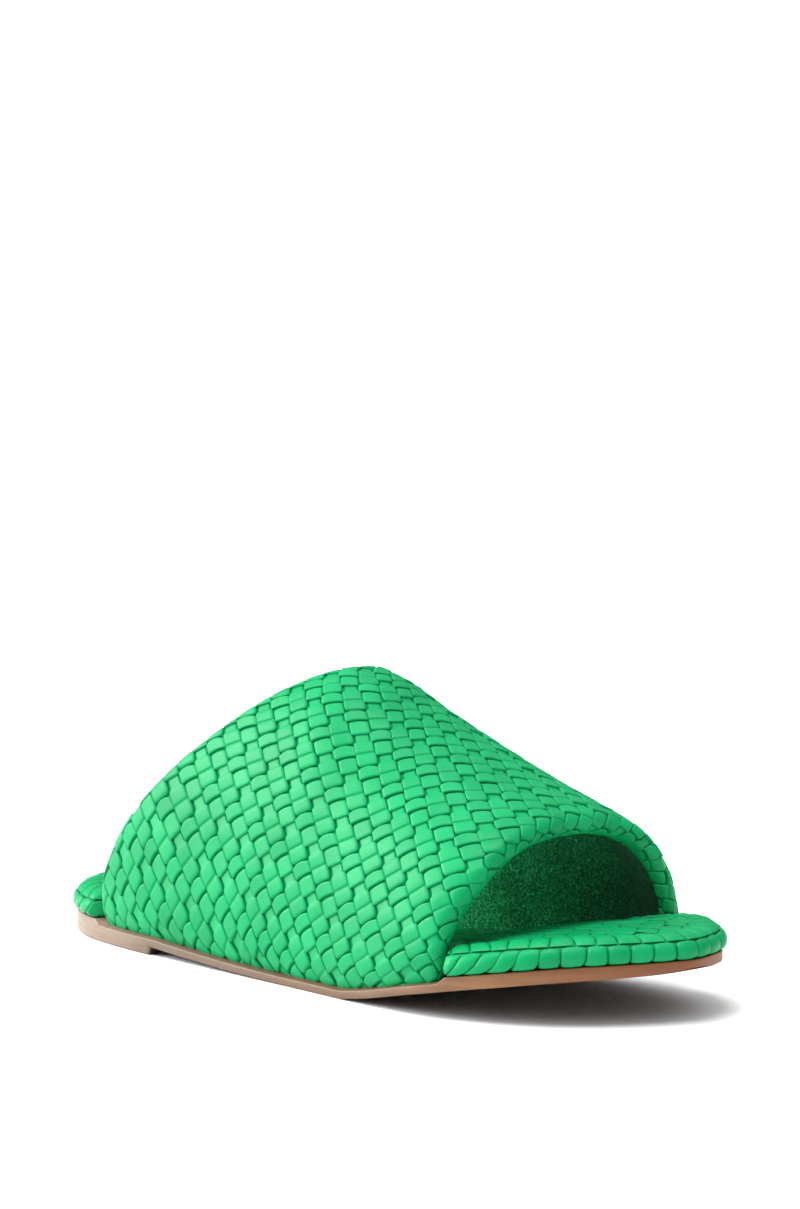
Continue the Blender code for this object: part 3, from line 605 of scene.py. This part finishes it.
def floatPad(s, t):  # a column strip over three row strips
    places, left, right, height, fold = np.array(weave["floatRows"]).T
    row = np.rint((t + 1) / 2 * (len(places) - 1)).astype(int)
    across = 0.5 + np.where(s < 0, left[row], right[row]) * s
    return across, places[row], height[row], np.maximum(border(s, 0), fold[row])


pads = {  # middle in crossings down, segments across and down
    "short": {"shape": shortPad, "middle": 0.5, "segments": (10, 10)},
    "arch": {"shape": archPad, "middle": 0.5, "segments": (12, 10)},
    "float": {"shape": floatPad, "middle": 1.5, "segments": (10, len(weave["floatRows"]) - 1)},
}
padAt = {0: "short", 1: "float", 4: "arch"}  # by the place in the repeat
lineCurves = [curveThrough(weave["line"], column) for column in (1, 2, 3, 4)]


def bentFlat(places):  # crossings to the sheet; the strips run steeper towards the heel and the toe
    across, down = places.T
    forward, up, stepForward, stepUp = (curve(across) for curve in lineCurves)
    plain, near = np.array(weave["plainStep"]), np.clip(down, *weave["bent"])[:, None]
    turned = np.stack([stepForward, stepUp], axis=1) - plain
    line = np.stack([forward, up], axis=1)
    return line + down[:, None] * plain + near * turned + near**2 * np.array(weave["bow"])


def padSpots(keep, toSheet):  # every pad whose middle passes the test
    spots, middles = [], []
    for column in range(-weave["columns"], weave["columns"]):
        for row in range(-weave["rows"], weave["rows"]):
            kind = padAt.get((row - weave["columnStep"] * column) % weave["repeat"])
            if kind:
                spots.append((column, row, kind))
                middles.append((column + 0.5, row + pads[kind]["middle"]))
    middles = np.array(middles)
    wanted = keep(toSheet(middles))
    return [(*spot, middle) for spot, middle, use in zip(spots, middles, wanted) if use]


def crowded(grid):  # more of a pad's points near its edges
    return np.sign(grid) * (1 - (1 - np.abs(grid)) ** weave["crowding"])


def layPads(bm, spots, relief):
    dice = random.Random(weave["seed"])
    tones = bm.verts.layers.float.new("stripTone")
    edges = bm.verts.layers.float.new("stripEdge")
    verts, places, heights = [], [], []
    for column, row, kind, middle in spots:
        made, grid = newGrid(bm, *pads[kind]["segments"])
        s, t = crowded(grid[:, 0]), grid[:, 1] if kind == "float" else crowded(grid[:, 1])
        across, down, height, fall = pads[kind]["shape"](s, t)
        away = np.stack([column + across, row + down], axis=1) - middle
        turn = dice.uniform(-1, 1) * weave["turnJitter"]
        spin = np.array([[math.cos(turn), math.sin(turn)], [-math.sin(turn), math.cos(turn)]])
        size = 1 + dice.uniform(-1, 1) * weave["sizeJitter"]
        shift = [dice.uniform(-1, 1) * weave["shiftJitter"] for axis in range(2)]
        tone = dice.random()
        for vert, low in zip(made, fall):
            vert[tones] = tone
            # this edge value also sets how much painted shade the leather gives the point
            vert[edges] = low * relief
        verts += made
        places.append(away @ spin * size + middle + shift)
        lift = dice.uniform(-1, 1) * weave["heightJitter"]
        heights.append((height + lift - fall * weave["drop"]) * relief)
    return verts, np.concatenate(places), np.concatenate(heights)


def dropFaces(bm, verts, outside):  # faces that lie wholly outside
    gone = {vert for vert, away in zip(verts, outside) if away}
    faces = [face for face in bm.faces if all(vert in gone for vert in face.verts)]
    bmesh.ops.delete(bm, geom=faces, context="FACES")


def wovenBand():
    reach = last["roll"] * weave["wrapTurn"]
    spare = 2 * weave["rowSpacing"]

    def keep(flat):
        x, share = fromFlat(flat)
        room = [rimsDistance(flat) + reach, share * girthAt(x), (1 - share) * girthAt(x)]
        return np.minimum.reduce(room) > -spare

    bm = bmesh.new()
    verts, places, height = layPads(bm, padSpots(keep, bentFlat), 1.0)
    flat = bentFlat(places)
    setPoints(verts, onBand(flat, height, weave["wrapTurn"]))
    share = fromFlat(flat)[1]
    dropFaces(bm, verts, (share < 0) | (share > 1) | (rimsDistance(flat) < -reach))
    bmesh.ops.recalc_face_normals(bm, faces=bm.faces)
    return smoothPiece("wovenBand", bm, leather)


# The band's wall behind the strips: one closed ring from rim to rim and back, swept over the arch.
wallLook = {"alongSteps": 56, "rollSteps": 9, "archSteps": 110}


def wallRing(share):
    look, bed = wallLook, weave["bed"]
    ends = float(collarX(share)), float(toeOpeningX(share))
    xs = np.linspace(*ends, look["alongSteps"] + 1)
    shares = np.full(len(xs), share)
    flat = toFlat(xs, shares)
    depth = wallDepth(rimsDistance(flat), 2 * last["roll"] - bed)
    face, normal = bandPoint(xs, shares), bandNormal(xs, shares)
    turns = np.linspace(0, math.pi, look["rollSteps"] + 2)[1:-1]
    sunk = np.full(len(turns), -bed)
    caps = {}
    for name, end in (("collar", 0), ("toe", -1)):
        caps[name] = onRoll(name, np.repeat(flat[[end]], len(turns), axis=0), turns, sunk)
    inner = face - normal * depth[:, None]
    outer = face - normal * (bed + footTuck(xs, shares))[:, None]
    return np.concatenate([outer, caps["toe"], inner[::-1], caps["collar"][::-1]])


def extrudeLoop(bm, loop):  # a closed loop's next loop, in the same order
    edges = {edge for vert in loop for edge in vert.link_edges if edge.is_boundary or edge.is_wire}
    made = bmesh.ops.extrude_edge_only(bm, edges=list(edges))["geom"]
    fresh = {item for item in made if isinstance(item, bmesh.types.BMVert)}
    return [next(v for e in vert.link_edges for v in [e.other_vert(vert)] if v in fresh) for vert in loop]


def suedeLining():
    rings = [wallRing(share) for share in np.linspace(0, 1, wallLook["archSteps"] + 1)]
    bm = bmesh.new()
    covered = bm.verts.layers.float.new("covered")
    loop = bmesh.ops.create_circle(bm, segments=len(rings[0]))["verts"]
    setPoints(loop, rings[0])
    ends = [loop]
    rolled = wallLook["rollSteps"] - 1  # the strips cover the outer face and nearly all of both rolls
    for ring in rings[1:]:
        loop = extrudeLoop(bm, loop)
        setPoints(loop, ring)
        for k, vert in enumerate(loop):
            vert[covered] = float(k <= wallLook["alongSteps"] + rolled or k >= len(loop) - rolled)
    ends.append(loop)
    for end in ends:
        edges = {edge for vert in end for edge in vert.link_edges if edge.is_boundary}
        bmesh.ops.triangle_fill(bm, use_beauty=True, edges=list(edges))
    bmesh.ops.recalc_face_normals(bm, faces=bm.faces)
    return smoothPiece("suedeLining", bm, suede)


band = wovenBand()
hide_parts("upper")
lining = suedeLining()


# The moulded sole: one grid under the foot, its edge drawn up round the sides, and a grid on top.
soleShape = {
    "lowerRound": 1.0,
    "upperRound": 0.4,
    "roundSteps": 4,
    "lengthSteps": 130,
    "widthSteps": 12,
    "rebateRamp": 2.5,
    "seamWeld": 0.02 * mm,
}


def rebateEnds(share):
    spare = last["roll"] + last["gap"]
    return [float(collarX(share)) - spare, float(toeOpeningX(share)) + spare]


def soleStations():  # closer at both ends, with the heel's and the rebate's own places
    turn = np.linspace(0, math.pi, soleShape["lengthSteps"] + 1)
    xs = last["toeTip"][0] * (1 - np.cos(turn)) / 2
    marks = [last["heelBreast"], last["heelBreast"] + last["breastSlope"]]
    for share in (0, 1):
        start, end = rebateEnds(share)
        marks += [start, end, start - soleShape["rebateRamp"], end + soleShape["rebateRamp"]]
    return np.sort(np.concatenate([xs, marks]))


def soleRim(x, y):  # height of the sole's edge, lower where the band stands
    share = np.where(y > np.interp(x, [0, last["toeTip"][0]], [0, last["toeTip"][1]]), 1.0, 0.0)
    start, end = np.array([rebateEnds(0), rebateEnds(1)])[share.astype(int)].T
    inside = np.minimum(x - start, end - x)
    return soleTop(x) - last["rebateDepth"] * np.clip(inside / soleShape["rebateRamp"] + 1, 0, 1)


def outwardAt(x, y):
    alongX, alongY = soleEdge[None, :, 0] - x[:, None], soleEdge[None, :, 1] - y[:, None]
    return edgeOutward[np.argmin(alongX**2 + alongY**2, axis=1)]


def soleSheet(bm, xs, inset, level):
    made, grid = newGrid(bm, len(xs) - 1, soleShape["widthSteps"])
    x = np.interp(grid[:, 0], np.linspace(-1, 1, len(xs)), xs)
    y = outerY(x) + (innerY(x) - outerY(x)) * (grid[:, 1] + 1) / 2
    onEdge = np.isclose(np.abs(grid), 1).any(axis=1)
    points = np.column_stack([x, y, level(x, y, onEdge)])
    points[onEdge, :2] -= outwardAt(x[onEdge], y[onEdge]) * inset
    setPoints(made, points)
    bmesh.ops.remove_doubles(bm, verts=made, dist=weld)


def mouldedSole():
    look = soleShape
    lower, upper = look["lowerRound"], look["upperRound"]
    xs = soleStations()
    bm = bmesh.new()
    # the underside's points get the dark colour that deepens the shade beneath the sole
    underShade = bm.verts.layers.float.new("underShade")
    soleSheet(bm, xs, lower, lambda x, y, onEdge: soleBottom(x))
    for vert in bm.verts:
        vert[underShade] = 1.0
    rim = [edge for edge in bm.edges if edge.is_boundary]
    loop = list({vert for edge in rim for vert in edge.verts})
    foot = np.array([vert.co for vert in loop]) / mm - shoeZero
    outward = outwardAt(foot[:, 0], foot[:, 1])
    edge = foot[:, :2] + outward * lower
    top = soleRim(edge[:, 0], edge[:, 1])
    quarter = np.linspace(0, math.pi / 2, look["roundSteps"] + 1)
    rows = [(lower * (1 - math.sin(turn)), foot[:, 2] + lower * (1 - math.cos(turn))) for turn in quarter[1:]]
    rows += [(upper * (1 - math.cos(turn)), top - upper * (1 - math.sin(turn))) for turn in quarter]
    for inset, height in rows:
        loop = extrudeLoop(bm, loop)
        setPoints(loop, np.column_stack([edge - outward * inset, height]))
        for vert in loop:
            vert[underShade] = 0.0
    soleSheet(bm, xs, upper, lambda x, y, onEdge: np.where(onEdge, soleRim(x, y), soleTop(x)))
    bmesh.ops.remove_doubles(bm, verts=bm.verts, dist=look["seamWeld"])
    bmesh.ops.recalc_face_normals(bm, faces=bm.faces)
    return smoothPiece("mouldedSole", bm, rubber)


sole = mouldedSole()
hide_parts("outsole")


# The footbed: a padded core, a row of strips turned down round its edge, a narrow row over it,
# and the woven top.
footbedShape = {
    "crown": 0.8,
    "crownReach": 18.0,
    "bulge": 1.1,
    "tuck": 2.4,
    "round": 6.6,
    "clearance": 0.8,
    "ramp": 3.0,
    "weaveStart": (131.5, 54.8),
    "acrossStep": (5.9, 3.0),
    "downStep": (2.5, -3.6),
    "edgePitch": 6.8,
    "edgeFill": 0.97,
    "edgeSegments": (8, 10),
    "edgeNarrowed": 0.05,
    "edgeCurl": 0.15,
    "edgeBow": 0.1,
    "edgeFootRound": -0.9,
    "sideLean": 0.5,
    "toeLean": 0.06,
    "edgeJitter": 0.13,
    "toeFrom": 205.0,
    "toeFull": 232.0,
    "hidden": 7.0,
    "rows": [(0.0, 1.0), (0.5, -0.7)],  # share of a pitch shifted, way the strips lean
    "heelTurns": np.radians([-88, 34, 112]),  # ends of the rows round the edge, from its widest line
    "frontTurns": np.radians([-88, 46, 122]),
    "frontFrom": 90.0,
    "frontFull": 190.0,
    "rowGap": math.radians(1),
    "puff": 0.45,
    "coreInset": 0.9,
    "sink": 0.9,
    "sinkReach": 2.5,
    "relief": 0.45,
    "rimPoints": 400,
    "spare": 0.5,  # how far the top's strips may run out past its rim
}
edgeSteps = np.linalg.norm(np.diff(np.vstack([soleEdge, soleEdge[:1]]), axis=0), axis=1)
edgeLengths = np.concatenate([[0], np.cumsum(edgeSteps)])


def roundEdge(rows, length):  # rows of the sole's edge, read by the length along it
    at = np.mod(length, edgeLengths[-1])
    closed = np.vstack([rows, rows[:1]])
    return np.column_stack([np.interp(at, edgeLengths, closed[:, k]) for k in (0, 1)])


def insideBand(x, length):  # how far inside the band's ends, on the side where that length lies
    inner = np.mod(length, edgeLengths[-1]) > edgeLengths[tipAt]
    ends = np.array([[collarX(share), toeOpeningX(share)] for share in (0.0, 1.0)])[inner.astype(int)]
    return np.minimum(x - ends[:, 0], ends[:, 1] - x)


def padEdge(length, turn, height):  # points round the footbed's edge
    shape = footbedShape
    point, out = roundEdge(soleEdge, length), unit(roundEdge(edgeOutward, length))
    x = point[:, 0]
    inside = insideBand(x, length)
    behind = last["overhang"] - wallDepth(inside, 2 * last["roll"]) - shape["clearance"]
    clear = (-inside - last["roll"] - 2 * last["gap"]) / shape["ramp"]
    offset = between(behind, shape["bulge"], ease(clear))
    below = turn < 0
    wide = np.where(below, shape["tuck"], shape["round"])
    tall = np.where(below, shape["tuck"], padDepth(x) - shape["tuck"])
    flat = np.minimum(turn, math.pi / 2)
    over = (turn - flat) * wide  # on over the top, past the rounding
    normal = unit(np.column_stack([np.cos(flat) / wide, np.sin(flat) / tall]))
    outwards = offset - wide * (1 - np.cos(flat)) - over + normal[:, 0] * height
    z = soleTop(x) + last["gap"] + shape["tuck"] + tall * np.sin(flat) + normal[:, 1] * height
    return np.column_stack([point + out * outwards[:, None], z])


def jointLine(dice, count, shift):  # where the joints between the strips cross an edge of their row
    cuts = [k + shift + dice.uniform(-1, 1) * footbedShape["edgeJitter"] for k in range(count)]
    return np.array(cuts + [cuts[0] + count])


def edgePads(bm, tones, edges):
    shape = footbedShape
    dice = random.Random(weave["seed"])
    count = round(edgeLengths[-1] / shape["edgePitch"])
    pitch = edgeLengths[-1] / count
    for row, (shift, way) in enumerate(shape["rows"]):
        lower = jointLine(dice, count, shift) * pitch
        upper = jointLine(dice, count, shift) * pitch
        for k in range(count):
            middle = lower[[k]] + pitch / 2
            x = roundEdge(soleEdge, middle)[:, 0]
            if insideBand(x, middle)[0] > shape["hidden"]:
                continue
            toFront = ease((x[0] - shape["frontFrom"]) / (shape["frontFull"] - shape["frontFrom"]))
            turns = between(shape["heelTurns"], shape["frontTurns"], toFront)
            low, high = turns[row] + shape["rowGap"], turns[row + 1] - shape["rowGap"]
            toTip = ease((x[0] - shape["toeFrom"]) / (shape["toeFull"] - shape["toeFrom"]))
            lean = way * between(shape["sideLean"], shape["toeLean"], toTip)
            made, grid = newGrid(bm, *shape["edgeSegments"])
            s, t = crowded(grid).T
            left, right = (between(lower[j], upper[j], (t + 1) / 2) for j in (k, k + 1))
            narrowed = 1 - shape["edgeNarrowed"] * t**4
            along = (left + right) / 2 + (right - left) / 2 * shape["edgeFill"] * s * narrowed
            along = along + pitch * lean * t * (1 - shape["edgeCurl"] * t * t)
            turn = (low + high) / 2 + (high - low) / 2 * t * (1 + dice.uniform(-1, 1) * weave["sizeJitter"])
            turn = turn - shape["edgeBow"] * s * s * np.maximum(t, 0)
            fall = border(s, np.maximum(t, shape["edgeFootRound"]))
            puff = shape["puff"] * (1 - s * s) * (1 - t * t)
            height = puff - fall * weave["drop"] + dice.uniform(-1, 1) * weave["heightJitter"]
            setPoints(made, padEdge(along, turn, height))
            tone = dice.random()
            for vert, sunk in zip(made, fall):
                vert[tones] = tone
                vert[edges] = sunk


def footbedWeave():
    shape = footbedShape
    count = shape["rimPoints"]
    lengths = np.linspace(0, edgeLengths[-1], count, endpoint=False)
    rim = padEdge(lengths, np.full(count, math.pi / 2), np.zeros(count))[:, :2]
    step = np.roll(rim, -1, axis=0) - rim

    def reachIn(plan):  # how far inside the top's edge
        return nearestOn(rim, step, plan)[0]

    def onPlan(places):
        return np.array(shape["weaveStart"]) + places @ np.array([shape["acrossStep"], shape["downStep"]])

    bm = bmesh.new()
    spots = padSpots(lambda plan: reachIn(plan) > 0, onPlan)
    verts, places, height = layPads(bm, spots, shape["relief"])
    plan = onPlan(places)
    x = plan[:, 0]
    reach = reachIn(plan)
    crown = shape["crown"] * ease(reach / shape["crownReach"])
    sink = shape["sink"] * ease((shape["sinkReach"] - reach) / shape["sinkReach"])
    z = soleTop(x) + last["gap"] + padDepth(x) + crown + height - sink
    setPoints(verts, np.column_stack([plan, z]))
    dropFaces(bm, verts, reach < -shape["spare"])
    edgePads(bm, bm.verts.layers.float["stripTone"], bm.verts.layers.float["stripEdge"])
    bmesh.ops.recalc_face_normals(bm, faces=bm.faces)
    return smoothPiece("footbedWeave", bm, leather)


def footbedCore():  # the footbed's own form, a little smaller
    bm = bmesh.new()
    bm.from_mesh(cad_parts["footbed"].data)
    bmesh.ops.remove_doubles(bm, verts=bm.verts, dist=weld)
    bmesh.ops.recalc_face_normals(bm, faces=bm.faces)
    bm.normal_update()
    # the whole core gets the strips' edge colour, painted shade for the gaps between the pads above it
    edges = bm.verts.layers.float.new("stripEdge")
    for vert, normal in [(vert, vert.normal.copy()) for vert in bm.verts]:
        vert.co -= normal * footbedShape["coreInset"] * mm
        vert[edges] = 1.0
    return smoothPiece("footbedCore", bm, leather)


top = footbedWeave()
core = footbedCore()
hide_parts("footbed")


# The camera: the photo's angle, a long lens, and the shoe low in the frame.
viewLook = {
    "azimuth": math.radians(46.5),
    "elevation": math.radians(9.4),
    "distance": 1.8,
    "aim": (0.0, 0.0, 0.04),
    "pixelsPerMetre": 3320.0,
    "aimPixel": (373.1, 838.4),
    "photo": (800, 1209),
    "sensor": 36.0,
    "clipEnd": 100.0,
}


def makeCamera():
    look = viewLook
    a, e = look["azimuth"], look["elevation"]
    back = Vector((math.sin(a) * math.cos(e), -math.cos(a) * math.cos(e), math.sin(e)))
    focal = look["pixelsPerMetre"] * look["distance"]
    data = bpy.data.cameras.new("camera")
    data.sensor_width = look["sensor"]
    data.lens = focal * look["sensor"] / max(look["photo"])
    data.clip_end = look["clipEnd"]
    camera = bpy.data.objects.new("camera", data)
    camera.location = Vector(look["aim"]) + back * look["distance"]
    right = Vector((math.cos(a), math.sin(a), 0))
    up = back.cross(right)
    across = (look["photo"][0] / 2 - look["aimPixel"][0]) / focal
    rise = (look["aimPixel"][1] - look["photo"][1] / 2) / focal
    ahead = -back + right * across + up * rise
    camera.rotation_euler = ahead.to_track_quat("-Z", "Y").to_euler()
    bpy.context.scene.collection.objects.link(camera)
    bpy.context.scene.camera = camera


makeCamera()

# The stage: a pale floor, a soft sun, and a studio that is bright above and to the left of the camera.
stageLook = {
    "floor": (0.93, 0.93, 0.93),
    "floorSize": 60.0,
    "floorRoughness": 0.9,
    "floorSpecular": 0.1,
    "dim": 0.03,
    "above": 1.45,
    "abovePower": 1.6,
    "aboveFrom": (0.0, 0.0, 1.0),
    "beside": 14.5,
    "besidePower": 18.0,
    "sideFrom": (-0.80, -0.50, 0.34),
    "ahead": 0.15,
    "aheadPower": 4.0,
    "frontFrom": (0.62, -0.38, 0.68),
    "sun": 2.6,
    "sunAngle": math.radians(34),
    "sunFrom": (-0.04, -0.28, 0.96),
}


def calculated(nodes, links, kind, source, *values):  # one step of sums on a value
    node = nodes.new("ShaderNodeMath")
    node.operation = kind
    links.new(source, node.inputs[0])
    for socket, value in enumerate(values, 1):
        if isinstance(value, bpy.types.NodeSocket):
            links.new(value, node.inputs[socket])
        else:
            node.inputs[socket].default_value = value
    return node.outputs["Value"]


def studioLight():
    look = stageLook
    world = bpy.data.worlds.new("studio")
    world.use_nodes = True
    nodes, links = world.node_tree.nodes, world.node_tree.links
    place = nodes.new("ShaderNodeTexCoord")
    strength = look["dim"]
    lights = [
        (look["aboveFrom"], look["above"], look["abovePower"]),
        (look["sideFrom"], look["beside"], look["besidePower"]),
        (look["frontFrom"], look["ahead"], look["aheadPower"]),
    ]
    for way, amount, power in lights:
        facing = nodes.new("ShaderNodeVectorMath")
        facing.operation = "DOT_PRODUCT"
        facing.inputs[1].default_value = way
        links.new(place.outputs["Generated"], facing.inputs[0])
        seen = calculated(nodes, links, "MAXIMUM", facing.outputs["Value"], 0.0)
        narrow = calculated(nodes, links, "POWER", seen, power)
        strength = calculated(nodes, links, "MULTIPLY_ADD", narrow, amount, strength)
    links.new(strength, nodes["Background"].inputs["Strength"])
    nodes["Background"].inputs["Color"].default_value = (1, 1, 1, 1)
    bpy.context.scene.world = world


def makeStage():
    look = stageLook
    bm = bmesh.new()
    bmesh.ops.create_grid(bm, x_segments=1, y_segments=1, size=look["floorSize"])
    mesh = bpy.data.meshes.new("floor")
    bm.to_mesh(mesh)
    bm.free()
    floor = bpy.data.objects.new("floor", mesh)
    bpy.context.scene.collection.objects.link(floor)
    material, nodes, links, shader = newMaterial("paleFloor")
    shader.inputs["Base Color"].default_value = (*look["floor"], 1)
    shader.inputs["Roughness"].default_value = look["floorRoughness"]
    shader.inputs["Specular IOR Level"].default_value = look["floorSpecular"]
    mesh.materials.append(material)
    studioLight()
    data = bpy.data.lights.new("key", "SUN")
    data.energy = look["sun"]
    data.angle = look["sunAngle"]
    key = bpy.data.objects.new("key", data)
    key.rotation_euler = Vector(look["sunFrom"]).to_track_quat("Z", "Y").to_euler()
    bpy.context.scene.collection.objects.link(key)
    bpy.context.scene.view_settings.view_transform = "Standard"


makeStage()
print("stage: camera, floor, light")
